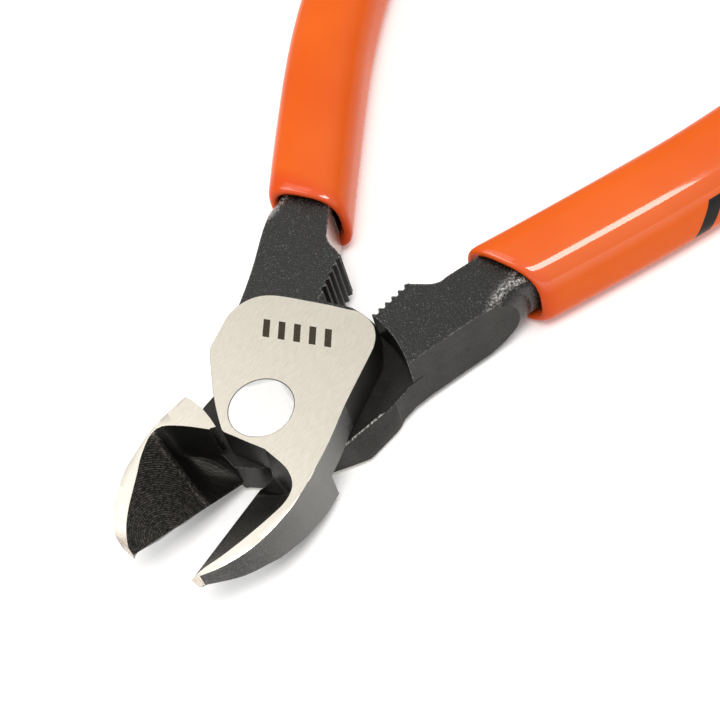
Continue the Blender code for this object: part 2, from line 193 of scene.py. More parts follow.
def interpolate(table, x):
    """Piecewise linear lookup in a list of (x, value) pairs."""
    if x <= table[0][0]:
        return table[0][1]
    for (x0, v0), (x1, v1) in zip(table, table[1:]):
        if x <= x1:
            return v0 + (v1 - v0) * (x - x0) / (x1 - x0)
    return table[-1][1]


def clamp(value, low=0.0, high=1.0):
    return min(max(value, low), high)


def smoothstep(value):
    value = clamp(value)
    return value * value * (3.0 - 2.0 * value)


def rotate_plan(x, y, degrees):
    angle = math.radians(degrees)
    return (x * math.cos(angle) - y * math.sin(angle), x * math.sin(angle) + y * math.cos(angle))


# ---------------------------------------------------------------- meshes

def to_object(name, bm, materials):
    bmesh.ops.remove_doubles(bm, verts=bm.verts, dist=1e-7)
    bmesh.ops.recalc_face_normals(bm, faces=bm.faces)
    mesh = bpy.data.meshes.new(name)
    bm.to_mesh(mesh)
    bm.free()
    for material in materials:
        mesh.materials.append(material)
    obj = bpy.data.objects.new(name, mesh)
    bpy.context.scene.collection.objects.link(obj)
    return obj


def loft(name, sections, materials, paint=None):
    """Closed body through equal-length rings; paint gives each ring step its material."""
    bm = bmesh.new()
    rings = []
    for section in sections:
        rings.append([bm.verts.new((x * MM, y * MM, z * MM)) for x, y, z in section])
    count = len(sections[0])
    for level, (ring, following) in enumerate(zip(rings, rings[1:])):
        for i in range(count):
            j = (i + 1) % count
            face = bm.faces.new((ring[i], ring[j], following[j], following[i]))
            face.material_index = paint(level, i) if paint else 0
    caps = [bm.faces.new(rings[0]), bm.faces.new(rings[-1])]
    bmesh.ops.triangulate(bm, faces=caps)
    return to_object(name, bm, materials)


def offset_outline(outline, distance):
    """The outline moved inwards by distance along its corner bisectors."""
    area = sum(a[0] * b[1] - b[0] * a[1] for a, b in zip(outline, outline[1:] + outline[:1]))
    sign = 1.0 if area > 0 else -1.0
    result = []
    count = len(outline)
    for i, (x, y) in enumerate(outline):
        ax, ay = outline[i - 1]
        bx, by = outline[(i + 1) % count]
        before = Vector((x - ax, y - ay)).normalized()
        after = Vector((bx - x, by - y)).normalized()
        n0 = Vector((-before.y, before.x)) * sign
        n1 = Vector((-after.y, after.x)) * sign
        normal = n0 + n1
        if normal.length < 1e-6:
            normal = n0
        normal.normalize()
        stretch = 1.0 / max(normal.dot(n0), 0.5)
        result.append((x + normal.x * distance * stretch, y + normal.y * distance * stretch))
    return result


def rounding(radius, steps):
    """Quarter-circle (inset, drop) pairs from the side of a body to its flat end."""
    pairs = []
    for k in range(steps + 1):
        angle = math.pi / 2.0 * k / steps
        pairs.append((radius * (1.0 - math.cos(angle)), radius * (1.0 - math.sin(angle))))
    return pairs


def slab(name, outline, z_low, z_high, materials, low_round=0.0, high_round=0.0, steps=3,
         top_paint=0, bottom_paint=0, side_paint=None):
    """Upright prism with rounded rims and its own materials on the flat ends."""
    levels = [(0.0, z_low)]
    if low_round:
        levels = [(inset, z_low + drop) for inset, drop in reversed(rounding(low_round, steps))]
    if high_round:
        levels += [(inset, z_high - drop) for inset, drop in rounding(high_round, steps)]
    else:
        levels.append((0.0, z_high))
    bm = bmesh.new()
    rings = []
    for inset, z in levels:
        ring = offset_outline(outline, inset)
        rings.append([bm.verts.new((x * MM, y * MM, z * MM)) for x, y in ring])
    count = len(outline)
    for ring, following in zip(rings, rings[1:]):
        for i in range(count):
            j = (i + 1) % count
            face = bm.faces.new((ring[i], ring[j], following[j], following[i]))
            face.material_index = side_paint(i) if side_paint else 0
    bm.faces.new(rings[0]).material_index = bottom_paint
    bm.faces.new(rings[-1]).material_index = top_paint
    return to_object(name, bm, materials)


def repaint(obj, index):
    """Give every face of an object one of its materials."""
    for polygon in obj.data.polygons:
        polygon.material_index = index
    return obj


def join_by_boolean(target, helper, operation):
    modifier = target.modifiers.new(helper.name, "BOOLEAN")
    modifier.operation = operation
    modifier.solver = "EXACT"
    modifier.material_mode = "TRANSFER"
    modifier.object = helper
    bpy.context.view_layer.update()
    graph = bpy.context.evaluated_depsgraph_get()
    mesh = bpy.data.meshes.new_from_object(target.evaluated_get(graph))
    target.modifiers.clear()
    old = target.data
    target.data = mesh
    bpy.data.meshes.remove(old)
    bpy.data.objects.remove(helper, do_unlink=True)


def crease(obj, degrees):
    """Smooth shading with sharp edges above an angle, weighted towards the larger faces."""
    bm = bmesh.new()
    bm.from_mesh(obj.data)
    limit = math.radians(degrees)
    for face in bm.faces:
        face.smooth = True
    for edge in bm.edges:
        edge.smooth = len(edge.link_faces) == 2 and edge.calc_face_angle(0.0) < limit
    bm.to_mesh(obj.data)
    bm.free()
    modifier = obj.modifiers.new("weighted", "WEIGHTED_NORMAL")
    modifier.keep_sharp = True
    modifier.weight = 80


# ---------------------------------------------------------------- node helpers

class Nodes:
    """Short calls for building one material's node tree."""

    def __init__(self, name):
        self.material = bpy.data.materials.new(name)
        self.material.use_nodes = True
        self.tree = self.material.node_tree
        self.shader = self.tree.nodes["Principled BSDF"]
        self.place = self.add("ShaderNodeTexCoord").outputs["Object"]

    def add(self, kind, **settings):
        node = self.tree.nodes.new(kind)
        for key, value in settings.items():
            setattr(node, key, value)
        return node

    def link(self, source, target):
        self.tree.links.new(source, target)

    def feed(self, target, value):
        if hasattr(value, "is_output"):
            self.link(value, target)
        else:
            target.default_value = value

    def scaled(self, scale, turn=(0.0, 0.0, 0.0), move=(0.0, 0.0, 0.0)):
        node = self.add("ShaderNodeMapping")
        self.link(self.place, node.inputs["Vector"])
        node.inputs["Scale"].default_value = scale
        node.inputs["Rotation"].default_value = [math.radians(a) for a in turn]
        node.inputs["Location"].default_value = move
        return node.outputs["Vector"]

    def noise(self, vector, scale, detail=4.0, roughness=0.55):
        node = self.add("ShaderNodeTexNoise")
        self.link(vector, node.inputs["Vector"])
        node.inputs["Scale"].default_value = scale
        node.inputs["Detail"].default_value = detail
        node.inputs["Roughness"].default_value = roughness
        return node.outputs["Fac"]

    def span(self, value, low, high, out_low=0.0, out_high=1.0):
        node = self.add("ShaderNodeMapRange")
        self.link(value, node.inputs["Value"])
        node.inputs["From Min"].default_value = low
        node.inputs["From Max"].default_value = high
        node.inputs["To Min"].default_value = out_low
        node.inputs["To Max"].default_value = out_high
        return node.outputs["Result"]

    def math(self, operation, first, second=0.0):
        node = self.add("ShaderNodeMath", operation=operation)
        self.feed(node.inputs[0], first)
        self.feed(node.inputs[1], second)
        return node.outputs["Value"]

    def times(self, first, second):
        return self.math("MULTIPLY", first, second)

    def mix(self, factor, first, second):
        node = self.add("ShaderNodeMix", data_type="RGBA")
        self.feed(node.inputs["Factor"], factor)
        self.feed(node.inputs["A"], first)
        self.feed(node.inputs["B"], second)
        return node.outputs["Result"]

    def bump(self, height, strength, distance, under=None):
        node = self.add("ShaderNodeBump")
        self.link(height, node.inputs["Height"])
        node.inputs["Strength"].default_value = strength
        node.inputs["Distance"].default_value = distance
        if under is not None:
            self.link(under, node.inputs["Normal"])
        return node.outputs["Normal"]

    def axes(self, vector):
        node = self.add("ShaderNodeSeparateXYZ")
        self.link(vector, node.inputs["Vector"])
        return node.outputs

    def dress(self, tone, metallic, roughness, normal):
        """Join the finished channels to the shader and hand the material over."""
        self.link(tone, self.shader.inputs["Base Color"])
        self.shader.inputs["Metallic"].default_value = metallic
        self.link(roughness, self.shader.inputs["Roughness"])
        self.link(normal, self.shader.inputs["Normal"])
        return self.material


def rgb(red, green, blue):
    return (red, green, blue, 1.0)


# ---------------------------------------------------------------- materials

def edge_wear_and_highlight(n, distance, low, high):
    """Mask that is one along outside edges: short rays inside the body soon meet a wall."""
    node = n.add("ShaderNodeAmbientOcclusion", inside=True, only_local=True, samples=8)
    node.inputs["Distance"].default_value = distance
    return n.span(node.outputs["AO"], high, low)


def worn_and_highlight_edges(n, tone, grains, edges, share, bare_and_highlight):
    """Bare grains along the outside edges, over an existing colour; abraded metal, partly a painted
    highlight.
    """
    wear_and_highlight = n.times(edges, grains)
    return n.mix(n.times(wear_and_highlight, share), tone, bare_and_highlight)


def painted_glints(n, scale, share, size):
    """Painted highlights: small bright dots standing in for glinting facets, from a share of the cells of a
    Voronoi pattern, each with its own brightness.
    """
    node = n.add("ShaderNodeTexVoronoi")
    n.link(n.place, node.inputs["Vector"])
    node.inputs["Scale"].default_value = scale
    split = n.add("ShaderNodeSeparateColor")
    n.link(node.outputs["Color"], split.inputs["Color"])
    chosen = n.span(split.outputs["Red"], 1.0 - share, 1.0 - share * 0.4)
    dot = n.span(node.outputs["Distance"], size, size * 0.35)
    return n.times(chosen, dot)


def plate_mark(n):
    """Row of slanted etched bars in place of a marking."""
    pitch = 2.4 * MM
    centred = n.scaled((1.0, 1.0, 1.0), move=(-12.7 * MM, -2.6 * MM, 0.0))
    node = n.add("ShaderNodeVectorRotate", rotation_type="Z_AXIS")
    n.link(centred, node.inputs["Vector"])
    node.inputs["Angle"].default_value = math.radians(75.0)
    parts = n.axes(node.outputs["Vector"])
    along = n.math("DIVIDE", parts["X"], pitch)
    across = n.math("DIVIDE", parts["Y"], pitch)
    slanted = n.math("ADD", along, n.times(across, 0.3))
    cell = n.math("FRACT", n.math("ADD", slanted, 10.5))
    bar = n.times(n.math("GREATER_THAN", cell, 0.28), n.math("LESS_THAN", cell, 0.72))
    row = n.math("LESS_THAN", n.math("ABSOLUTE", across), 0.62)
    ends = n.math("LESS_THAN", n.math("ABSOLUTE", slanted), 2.5)
    top = n.math("GREATER_THAN", n.axes(n.place)["Z"], (HEAD_TOP - 0.05) * MM)
    return n.times(n.times(bar, row), n.times(ends, top))


def ground_steel(name, marked):
    """Finely brushed bright steel, brighter towards the jaws and dark brown at the tips."""
    n = Nodes(name)
    lines = n.noise(n.scaled((700.0, 9000.0, 700.0), turn=(0.0, 0.0, 52.0)), 1.0, 3.0, 0.6)
    broad = n.noise(n.place, 90.0, 3.0, 0.5)
    fine = n.noise(n.place, 5000.0, 2.0, 0.5)
    tone = n.mix(n.span(lines, 0.35, 0.65), rgb(0.73, 0.675, 0.565), rgb(0.86, 0.81, 0.71))
    tone = n.mix(n.span(broad, 0.3, 0.7, 0.0, 0.3), tone, rgb(0.79, 0.73, 0.62))
    along = n.axes(n.place)["X"]
    front = n.span(along, -0.004, -0.022)
    tone = n.mix(n.times(front, 0.5), tone, rgb(0.95, 0.92, 0.86))
    tip = n.times(n.span(along, -0.0245, -0.0262), n.span(fine, 0.3, 0.6, 0.4, 1.0))
    tone = n.mix(tip, tone, rgb(0.40, 0.32, 0.25))
    rough = n.math("ADD", n.span(lines, 0.3, 0.7, 0.34, 0.44), n.span(fine, 0.3, 0.7, -0.03, 0.03))
    if marked:
        mark = plate_mark(n)
        burnt = n.mix(n.span(fine, 0.3, 0.7), rgb(0.035, 0.028, 0.020), rgb(0.10, 0.085, 0.065))
        tone = n.mix(mark, tone, burnt)
        rough = n.math("ADD", rough, n.times(mark, 0.2))
    return n.dress(tone, 1.0, rough, n.bump(lines, 0.2, 0.00002))


def forged_black():
    """Blackened forging scale: fine grain with scattered bright specks, which are painted highlights, and a
    painted highlight along the shoulders.
    """
    n = Nodes("forged_black")
    grain = n.noise(n.place, 2600.0, 5.0, 0.62)
    lumps = n.noise(n.place, 700.0, 3.0, 0.5)
    patch = n.noise(n.place, 160.0, 3.0, 0.5)
    # Painted highlights: a share of small cells made bright grey in the base colour, standing in for glinting
    # facets
    painted_glint = n.math("MAXIMUM", painted_glints(n, 5200.0, 0.22, 0.46), painted_glints(n, 3400.0, 0.09, 0.40))
    painted_glint = n.times(painted_glint, n.span(patch, 0.35, 0.6, 0.4, 1.0))
    tone = n.mix(n.span(grain, 0.35, 0.7), rgb(0.006, 0.006, 0.005), rgb(0.018, 0.018, 0.016))
    tone = n.mix(n.times(painted_glint, 0.62), tone, rgb(0.30, 0.295, 0.28))
    # Painted highlight: a lighter speckled band where the surface slopes over the shoulders, between the flat
    # top and the flank
    slope = n.axes(n.add("ShaderNodeNewGeometry").outputs["Normal"])["Z"]
    bright_band = n.times(n.span(slope, 0.985, 0.92), n.span(slope, 0.68, 0.84))
    bright_band = n.times(bright_band, n.span(grain, 0.46, 0.60))
    tone = n.mix(n.times(bright_band, 0.75), tone, rgb(0.42, 0.41, 0.39))
    grains = n.span(grain, 0.45, 0.62)
    # Abraded outside edges, partly a painted highlight along them
    tone = worn_and_highlight_edges(n, tone, grains, edge_wear_and_highlight(n, 0.0004, 0.5, 0.85), 0.55, rgb(0.30, 0.29, 0.275))
    n.shader.inputs["Specular IOR Level"].default_value = 0.9
    coarse = n.bump(lumps, 0.4, 0.00014)
    return n.dress(tone, 0.35, n.span(grain, 0.3, 0.7, 0.16, 0.32), n.bump(grain, 0.9, 0.00011, coarse))


def smooth_black():
    """Milled flats under the black finish: soft sheen and faint tool marks."""
    n = Nodes("smooth_black")
    marks = n.noise(n.scaled((600.0, 600.0, 5200.0)), 1.0, 3.0, 0.5)
    haze = n.noise(n.place, 260.0, 4.0, 0.55)
    grain = n.noise(n.place, 3000.0, 3.0, 0.6)
    tone = n.mix(n.span(haze, 0.3, 0.7), rgb(0.028, 0.027, 0.025), rgb(0.041, 0.040, 0.037))
    tone = n.mix(n.span(grain, 0.3, 0.7, 0.0, 0.3), tone, rgb(0.085, 0.083, 0.079))
    grains = n.span(grain, 0.5, 0.6)
    # Abraded outside edges, partly a painted highlight along them
    tone = worn_and_highlight_edges(n, tone, grains, edge_wear_and_highlight(n, 0.0003, 0.5, 0.82), 0.45, rgb(0.34, 0.33, 0.31))
    return n.dress(tone, 0.92, n.span(marks, 0.3, 0.7, 0.38, 0.50), n.bump(marks, 0.18, 0.00002))


def jaw_wall():
    """Outer flank of a jaw: blackened, lighter grey over the run towards the throat, with fine bright grain.
    """
    n = Nodes("jaw_wall")
    grain = n.noise(n.place, 2400.0, 5.0, 0.65)
    cloud = n.noise(n.scaled((150.0, 150.0, 260.0)), 1.0, 4.0, 0.6)
    along = n.axes(n.place)["X"]
    # Lighter grey towards the throat, fading out again past it
    bright_band = n.times(n.span(along, -0.021, -0.003), n.span(along, 0.007, -0.005))
    tone = n.mix(n.span(cloud, 0.3, 0.7), rgb(0.036, 0.035, 0.033), rgb(0.070, 0.068, 0.065))
    tone = n.mix(n.times(bright_band, 0.8), tone, rgb(0.24, 0.235, 0.225))
    tone = n.mix(n.span(grain, 0.45, 0.75, 0.0, 0.5), tone, rgb(0.22, 0.215, 0.205))
    grains = n.span(grain, 0.45, 0.62)
    # Abraded outside edges, partly a painted highlight along them
    tone = worn_and_highlight_edges(n, tone, grains, edge_wear_and_highlight(n, 0.0004, 0.5, 0.85), 0.5, rgb(0.38, 0.37, 0.35))
    return n.dress(tone, 0.92, n.span(grain, 0.3, 0.7, 0.36, 0.52), n.bump(grain, 0.4, 0.00005))


def worn_and_highlight_black():
    """Rubbed corner: uncovered bright grains showing through the black, partly a painted highlight along the
    corner.
    """
    n = Nodes("worn_and_highlight_black")
    grain = n.noise(n.place, 3600.0, 3.0, 0.6)
    patch = n.noise(n.place, 500.0, 3.0, 0.6)
    bare_and_highlight = n.times(n.span(grain, 0.44, 0.58), n.span(patch, 0.3, 0.6, 0.35, 1.0))
    tone = n.mix(bare_and_highlight, rgb(0.05, 0.049, 0.046), rgb(0.62, 0.61, 0.58))
    return n.dress(tone, 0.9, n.span(grain, 0.3, 0.7, 0.30, 0.45), n.bump(grain, 0.5, 0.00005))


def scoop_steel():
    """Finger recess: milled after blackening, so it shows a paler grey."""
    n = Nodes("scoop_steel")
    marks = n.noise(n.scaled((700.0, 700.0, 4200.0)), 1.0, 3.0, 0.5)
    grain = n.noise(n.place, 2600.0, 3.0, 0.6)
    tone = n.mix(n.span(grain, 0.3, 0.7), rgb(0.42, 0.385, 0.36), rgb(0.56, 0.52, 0.49))
    return n.dress(tone, 0.9, n.span(marks, 0.3, 0.7, 0.28, 0.38), n.bump(marks, 0.15, 0.00002))


def milled_bevel(name, centre, swing, mirror, ridge):
    """Hollow-ground bevel: cutter arcs about one centre, a rough ridge, streaks falling from it."""
    n = Nodes(name)
    arc_pitch = 0.34 * MM
    fan_reach = 7.5
    shifted = n.scaled((1.0, 1.0, 1.0), move=[-value * MM for value in centre])
    wobble = n.noise(n.place, 420.0, 3.0, 0.6)
    reach = n.add("ShaderNodeVectorMath", operation="LENGTH")
    n.link(shifted, reach.inputs[0])
    distance = reach.outputs["Value"]
    phase = n.math("ADD", n.times(distance, 2.0 * math.pi / arc_pitch), n.times(wobble, 5.0))
    arcs = n.span(n.math("SINE", phase), -1.0, 1.0)
    grain = n.noise(n.place, 2600.0, 4.0, 0.65)

    head = rotate_plan(ridge[0], 0.0, swing)
    foot = rotate_plan(ridge[1], -10.7 * mirror, swing)
    run = Vector((foot[0] - head[0], foot[1] - head[1])).normalized()
    parts = n.axes(n.place)
    x = n.math("SUBTRACT", parts["X"], head[0] * MM)
    y = n.math("SUBTRACT", parts["Y"], head[1] * MM)
    off = n.math("ADD", n.times(x, -run.y), n.times(y, run.x))
    off = n.times(off, mirror)
    on_ridge = n.span(n.math("ABSOLUTE", off), 0.00055, 0.0001)
    beyond = n.span(off, -0.0001, 0.0006)

    angle = n.math("ARCTAN2", n.math("SUBTRACT", parts["Y"], (head[1] + run.y * fan_reach) * MM),
                   n.math("SUBTRACT", parts["X"], (head[0] + run.x * fan_reach) * MM))
    fan = n.add("ShaderNodeCombineXYZ")
    n.link(n.times(angle, 34.0), fan.inputs["X"])
    n.link(n.times(distance, 260.0), fan.inputs["Y"])
    streaks = n.noise(fan.outputs["Vector"], 1.0, 3.0, 0.6)

    crest = n.times(n.span(arcs, 0.62, 1.0), n.span(grain, 0.42, 0.62))
    lit = n.mix(beyond, crest, n.times(n.span(streaks, 0.52, 0.66), 0.15))
    sparkle = n.times(on_ridge, n.span(grain, 0.40, 0.60, 0.0, 1.6))
    lit = n.math("MAXIMUM", n.axes(lit)["X"], sparkle)
    tone = n.mix(n.span(grain, 0.3, 0.7), rgb(0.010, 0.0095, 0.009), rgb(0.024, 0.0225, 0.020))
    tone = n.mix(n.times(lit, 0.5), tone, rgb(0.26, 0.235, 0.205))
    tip = n.times(n.span(parts["X"], -0.0125, -0.0235), n.span(grain, 0.3, 0.65))
    tone = n.mix(n.times(tip, 0.62 if mirror > 0 else 0.10), tone, rgb(0.36, 0.33, 0.29))
    grains = n.span(grain, 0.45, 0.6)
    # Abraded outside edges, partly a painted highlight along them
    tone = worn_and_highlight_edges(n, tone, grains, edge_wear_and_highlight(n, 0.0003, 0.45, 0.8), 0.3, rgb(0.30, 0.265, 0.22))
    waves = n.bump(arcs, 0.4, 0.00006)
    return n.dress(tone, 0.9, n.span(grain, 0.3, 0.7, 0.40, 0.58), n.bump(grain, 0.4, 0.00005, waves))


def rivet_steel():
    """Rivet disc ground flush: brighter than the plate, with shorter lines."""
    n = Nodes("rivet_steel")
    lines = n.noise(n.scaled((1200.0, 9000.0, 1200.0), turn=(0.0, 0.0, 40.0)), 1.0, 3.0, 0.5)
    tone = n.mix(n.span(lines, 0.3, 0.7), rgb(0.94, 0.925, 0.90), rgb(0.985, 0.975, 0.96))
    return n.dress(tone, 0.85, n.span(lines, 0.3, 0.7, 0.30, 0.40), n.bump(lines, 0.1, 0.00001))


def side_mark(n):
    """Slanted black bars printed on the outer side of one sleeve."""
    pitch = 4.4 * MM
    parts = n.axes(n.place)
    along = n.math("DIVIDE", n.math("SUBTRACT", parts["X"], 64.0 * MM), pitch)
    height = n.math("DIVIDE", n.math("SUBTRACT", parts["Z"], 5.5 * MM), pitch)
    slanted = n.math("SUBTRACT", along, n.times(height, 0.35))
    cell = n.math("FRACT", n.math("ADD", slanted, 10.5))
    bar = n.times(n.math("GREATER_THAN", cell, 0.22), n.math("LESS_THAN", cell, 0.78))
    row = n.math("LESS_THAN", n.math("ABSOLUTE", height), 0.80)
    ends = n.math("LESS_THAN", n.math("ABSOLUTE", slanted), 1.5)
    normal = n.add("ShaderNodeNewGeometry").outputs["Normal"]
    outside = n.math("LESS_THAN", n.axes(normal)["Y"], -0.2)
    return n.times(n.times(bar, row), n.times(ends, outside))


def dipped_vinyl(name, marked):
    """Glossy dipped sleeve: faint ripple, redder lip, gloss that fades towards the outline."""
    n = Nodes(name)
    ripple = n.noise(n.scaled((60.0, 60.0, 90.0)), 1.0, 2.0, 0.4)
    orange_peel = n.noise(n.place, 800.0, 2.0, 0.4)
    cloud = n.noise(n.place, 55.0, 3.0, 0.5)
    tone = n.mix(n.span(cloud, 0.3, 0.7), rgb(0.63, 0.090, 0.009), rgb(0.68, 0.112, 0.012))
    lip = n.span(n.axes(n.place)["X"], 0.0375, 0.0352)
    tone = n.mix(n.times(lip, 0.45), tone, rgb(0.58, 0.030, 0.008))
    if marked:
        tone = n.mix(side_mark(n), tone, rgb(0.012, 0.011, 0.010))
    n.shader.inputs["IOR"].default_value = 1.45
    n.shader.inputs["Coat Roughness"].default_value = 0.05
    weight = n.add("ShaderNodeLayerWeight")
    weight.inputs["Blend"].default_value = 0.5
    facing = weight.outputs["Facing"]
    n.link(n.span(facing, 0.06, 0.36, 0.42, 0.06), n.shader.inputs["Specular IOR Level"])
    n.link(n.span(facing, 0.06, 0.32, 1.0, 0.02), n.shader.inputs["Coat Weight"])
    waves = n.bump(ripple, 0.2, 0.0004)
    peel = n.bump(orange_peel, 0.04, 0.00005, waves)
    return n.dress(tone, 0.0, n.span(orange_peel, 0.3, 0.7, 0.10, 0.14), peel)


# ---------------------------------------------------------------- forged halves

def edge_height(x):
    """Height of the cutting edge above the head's underside."""
    share = (x + JAW_REACH) / (JAW_REACH - 7.6)
    return HEAD_TOP - TIP_DEPTH - share * (THROAT_DEPTH - TIP_DEPTH)


def bevel_rise(edge_x, share, ridge):
    """Height gained from the edge (0) to the ground face (1) across the bevel of a jaw."""
    station, slant_end, width, floor_rise = ridge
    crest = station + (slant_end - station) * share
    facet = share ** 1.12
    if share < POCKET_FOOT:
        floor = floor_rise * (share / POCKET_FOOT) ** 1.6
    else:
        climb = (share - POCKET_FOOT) / (1.0 - POCKET_FOOT)
        floor = floor_rise + (1.0 - floor_rise) * climb ** 0.8
    past = clamp((edge_x - crest) / width)
    blend = 1.0 - (1.0 - past) ** 2.0
    return facet + (floor - facet) * blend


def jaw_section(edge_x, inner, outer, ridge):
    """Closed ring across a jaw: edge, bevel, ground face, outer wall, underside."""
    edge_z = edge_height(edge_x)
    depth = HEAD_TOP - edge_z
    pocket = smoothstep((edge_x - ridge[0]) / ridge[2])
    section = []
    for k in range(BEVEL_STEPS):
        share = k / BEVEL_STEPS
        share = share ** (1.0 - POCKET_CROWDING * pocket)
        x = edge_x + (inner[0] - edge_x) * share
        y = inner[1] * share - EDGE_CLEARANCE * (1.0 - share)
        section.append((x, y, edge_z + depth * bevel_rise(edge_x, share, ridge)))
    width = Vector((outer[0] - inner[0], outer[1] - inner[1]))
    rim = min(0.08, width.length * 0.2)
    along = width.normalized() * rim
    section.append((inner[0], inner[1], HEAD_TOP - 0.02))
    section.append((inner[0] + along.x * 0.4, inner[1] + along.y * 0.4, HEAD_TOP))
    section.append((outer[0] - along.x, outer[1] - along.y, HEAD_TOP))
    section.append((outer[0] - along.x * 0.3, outer[1] - along.y * 0.3, HEAD_TOP - rim * 0.3))
    section.append((outer[0], outer[1], HEAD_TOP - rim))
    wall = HEAD_TOP - interpolate(WALL_DEPTH, outer[0])
    breadth = abs(outer[1])
    corner = min(0.33, 0.22 * breadth, (HEAD_TOP - wall) * 0.4)
    for k in range(5):
        angle = math.pi / 2.0 * k / 4
        section.append((outer[0], outer[1] + corner * (1.0 - math.cos(angle)) * 1.3,
                        max(wall, HEAD_LOW) + corner * (1.0 - math.sin(angle))))
    lowest = max(min(wall, edge_z - 0.7), HEAD_LOW)
    near = min(1.5, 0.4 * breadth)
    share = near / breadth
    section.append((edge_x + (outer[0] - edge_x) * share, -near - 0.25, lowest))
    section.append((edge_x + (outer[0] - edge_x) * share * 0.8, -near * 0.8, lowest + 0.12))
    return section


def jaw(name, inner, outer, ridge, swing, mirror, materials):
    """Jaw lofted along its cutting edge, swung from the closed position to rest."""
    sections = []
    edges = catmull([(x,) for x in EDGE_STATIONS], JAW_STEPS)
    inners = catmull(inner, JAW_STEPS)
    outers = catmull(outer, JAW_STEPS)
    for edge, inner_point, outer_point in zip(edges, inners, outers):
        ring = []
        for x, y, z in jaw_section(edge[0], inner_point, outer_point, ridge):
            px, py = rotate_plan(x, y * mirror, swing)
            ring.append((px, py, z))
        sections.append(ring)

    def paint(level, step):
        in_pocket = edges[level][0] > ridge[1] + 0.6
        share = (step / BEVEL_STEPS) ** (1.0 - POCKET_CROWDING)
        if step < BEVEL_STEPS and in_pocket and share > POCKET_FOOT - 0.03:
            return SMOOTH
        if step < BEVEL_STEPS:
            return BEVEL
        if step < BEVEL_STEPS + 3:
            return GROUND
        return WALL
    return loft(name, sections, materials, paint)


def serrated_edge(line):
    """Rounded saw-tooth plan curve of the gripping shoulder, from first crest to last."""
    (x0, y0), (x1, y1) = line
    length = math.hypot(x1 - x0, y1 - y0)
    along = ((x1 - x0) / length, (y1 - y0) / length)
    inward = (-along[1], along[0])
    tooth = ((-0.68, 0.90), (-0.50, 1.0), (-0.34, 0.86), (-0.12, 0.12), (0.0, 0.0), (0.12, 0.06))
    points = []
    for k in range(SERRATION_COUNT):
        crest = k * SERRATION_PITCH
        for shift, depth in tooth:
            if k == 0 and shift < 0.0:
                continue
            distance = crest + shift * SERRATION_PITCH
            points.append((x0 + along[0] * distance + inward[0] * depth * SERRATION_DEPTH,
                           y0 + along[1] * distance + inward[1] * depth * SERRATION_DEPTH))
    return points


def arc_points(radius, start, end, count):
    points = []
    for k in range(count + 1):
        angle = math.radians(start + (end - start) * k / count)
        points.append((radius * math.cos(angle), radius * math.sin(angle)))
    return points


def rim_outline():
    """Low shoulder round the far side of the upper plate, a little outside its ground face."""
    curve = smooth_outline(PLATE_OUTLINE + UPPER_THROAT)
    far = [p for p in curve[4 * SMOOTH_STEPS:12 * SMOOTH_STEPS] if p[1] < 10.0]
    grown = []
    for x, y in far:
        reach = math.hypot(x, y)
        scale = min(1.0 + RIM_WIDTH / reach, RIM_RADIUS_LIMIT / reach)
        grown.append((x * scale, y * scale))
    return grown + [(12.0, 9.0), (12.0, -4.0)]


def chord_cut(name, high, low, materials, index):
    """Cutter along the lower plate's outer corner; its face runs between two (outset, z) points."""
    start = Vector(CHORD[0])
    run = (Vector(CHORD[1]) - start).normalized()
    out = Vector((run.y, -run.x))
    sections = []
    for reach in (-14.0, 16.0):
        foot = start + run * reach
        ring = []
        for outset, z in (high, low, (12.0, low[1]), (12.0, high[1])):
            point = foot + out * outset
            ring.append((point.x, point.y, z))
        sections.append(ring)
    return repaint(loft(name, sections, materials), index)


def mirror_outline(outline):
    return [(x, -y) for x, y in outline]


def neck_outline(outer, serration):
    """Plan outline of the half-thickness neck: from the plate into the root, and its round rim."""
    x0, y0 = serration[0]
    body = [p for p in outer if math.hypot(p[0], p[1]) < STEP_WALL_RADIUS + 2.5]
    tail = body[-1]
    outline = [(6.0, 10.0)] + body
    outline += [(tail[0] + 1.5, tail[1] - 3.0), (x0 + 3.0, y0 + 2.6), (x0 + 0.7, y0 + 1.7)]
    outline += arc_points(NECK_RADIUS, 12.0, -14.5, 24)
    outline += [(16.0, -4.0), (8.0, 0.0)]
    return outline


def root_section(x, low_y, high_y, low_z):
    """Ring across the handle root at one X: square inside, bulging forged curve outside."""
    high_z = HEAD_TOP - SHANK_DROP
    half = (high_z - low_z) / 2.0
    middle = (high_z + low_z) / 2.0
    corner = 0.3
    ring = [(x, low_y, high_z - corner), (x, low_y, middle), (x, low_y, low_z + corner),
            (x, low_y + corner, low_z)]
    count = 24
    for k in range(count + 1):
        angle = -math.pi / 2.0 + math.pi * k / count
        cosine = math.cos(angle)
        sine = math.sin(angle)
        reach = abs(cosine) ** (2.0 / 2.5) * FORGED_BULGE
        rise = math.copysign(abs(sine) ** (2.0 / 2.5), sine) * half
        ring.append((x, high_y - FORGED_BULGE + reach, middle + rise))
    ring.append((x, low_y + corner, high_z))
    return ring


def root_body(name, outer, side, materials):
    """As-forged handle root, from inside the step wall to inside the sleeve's mouth."""
    excess = [(12.0, 5.6), (22.0, 5.0), (25.5, 4.4), (27.2, 3.3), (29.0, 2.1), (30.6, 1.0),
              (32.6, 0.0), (34.0, -0.45), (36.6, -1.5)]
    low_z = HEAD_LOW + (SHANK_DROP if side > 0 else LOWER_ROOT_DROP)
    sections = []
    edge = catmull(outer, 4)
    for k in range(73):
        x = 12.0 + 24.6 * k / 72.0
        high_y = interpolate(edge, x) + interpolate(excess, x)
        low_y = interpolate([(12.0, 1.5), (28.0, 3.0), (36.6, 11.0)], x)
        ring = root_section(x, low_y, high_y, low_z)
        sections.append([(px, py * side, pz) for px, py, pz in ring])
    return loft(name, sections, materials)


